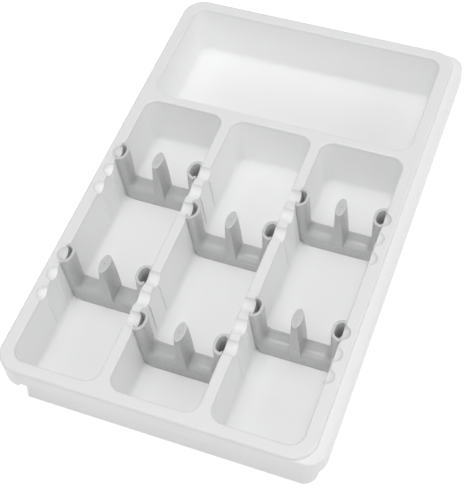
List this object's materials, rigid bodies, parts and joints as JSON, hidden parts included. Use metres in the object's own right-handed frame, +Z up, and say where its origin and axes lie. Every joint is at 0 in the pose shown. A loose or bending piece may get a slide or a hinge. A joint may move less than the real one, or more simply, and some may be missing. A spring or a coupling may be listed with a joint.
{
  "type": "cutlery tray",
  "caption": "Expandable drawer tray for cutlery: moulded upper tray with notched columns and lift-out dividers, over a lower tray that slides out to the right.",
  "frame": {"origin": "middle of the underside of the closed tray, on the surface that it stands on", "axes": "+X towards the side that the lower tray slides out of, +Y towards the back with the wide compartment, +Z up"},
  "size_m": [0.2502, 0.394, 0.0542],
  "materials": {
    "tray_plastic": "white injection-moulded plastic with a fine satin surface",
    "divider_plastic": "mid-grey, slightly translucent moulded plastic with a satin surface"
  },
  "bodies": {
    "upper_tray": {"upper_tray": "tray_plastic"},
    "lower_tray": {"lower_tray": "tray_plastic"},
    "divider_left_back": {"divider_left_back": "divider_plastic"},
    "divider_left_front": {"divider_left_front": "divider_plastic"},
    "divider_middle_back": {"divider_middle_back": "divider_plastic"},
    "divider_middle_front": {"divider_middle_front": "divider_plastic"},
    "divider_right_back": {"divider_right_back": "divider_plastic"},
    "divider_right_front": {"divider_right_front": "divider_plastic"}
  },
  "joints": [
    {"name": "lower_tray_slide", "type": "slide", "parent": "upper_tray", "child": "lower_tray", "axis": [1, 0, 0], "range_m": [0, 0.11]},
    {"name": "divider_left_back_lift", "type": "slide", "parent": "upper_tray", "child": "divider_left_back", "axis": [0, 0, 1], "range_m": [0, 0.055]},
    {"name": "divider_left_front_lift", "type": "slide", "parent": "upper_tray", "child": "divider_left_front", "axis": [0, 0, 1], "range_m": [0, 0.055]},
    {"name": "divider_middle_back_lift", "type": "slide", "parent": "upper_tray", "child": "divider_middle_back", "axis": [0, 0, 1], "range_m": [0, 0.055]},
    {"name": "divider_middle_front_lift", "type": "slide", "parent": "upper_tray", "child": "divider_middle_front", "axis": [0, 0, 1], "range_m": [0, 0.055]},
    {"name": "divider_right_back_lift", "type": "slide", "parent": "upper_tray", "child": "divider_right_back", "axis": [0, 0, 1], "range_m": [0, 0.055]},
    {"name": "divider_right_front_lift", "type": "slide", "parent": "upper_tray", "child": "divider_right_front", "axis": [0, 0, 1], "range_m": [0, 0.055]}
  ]
}
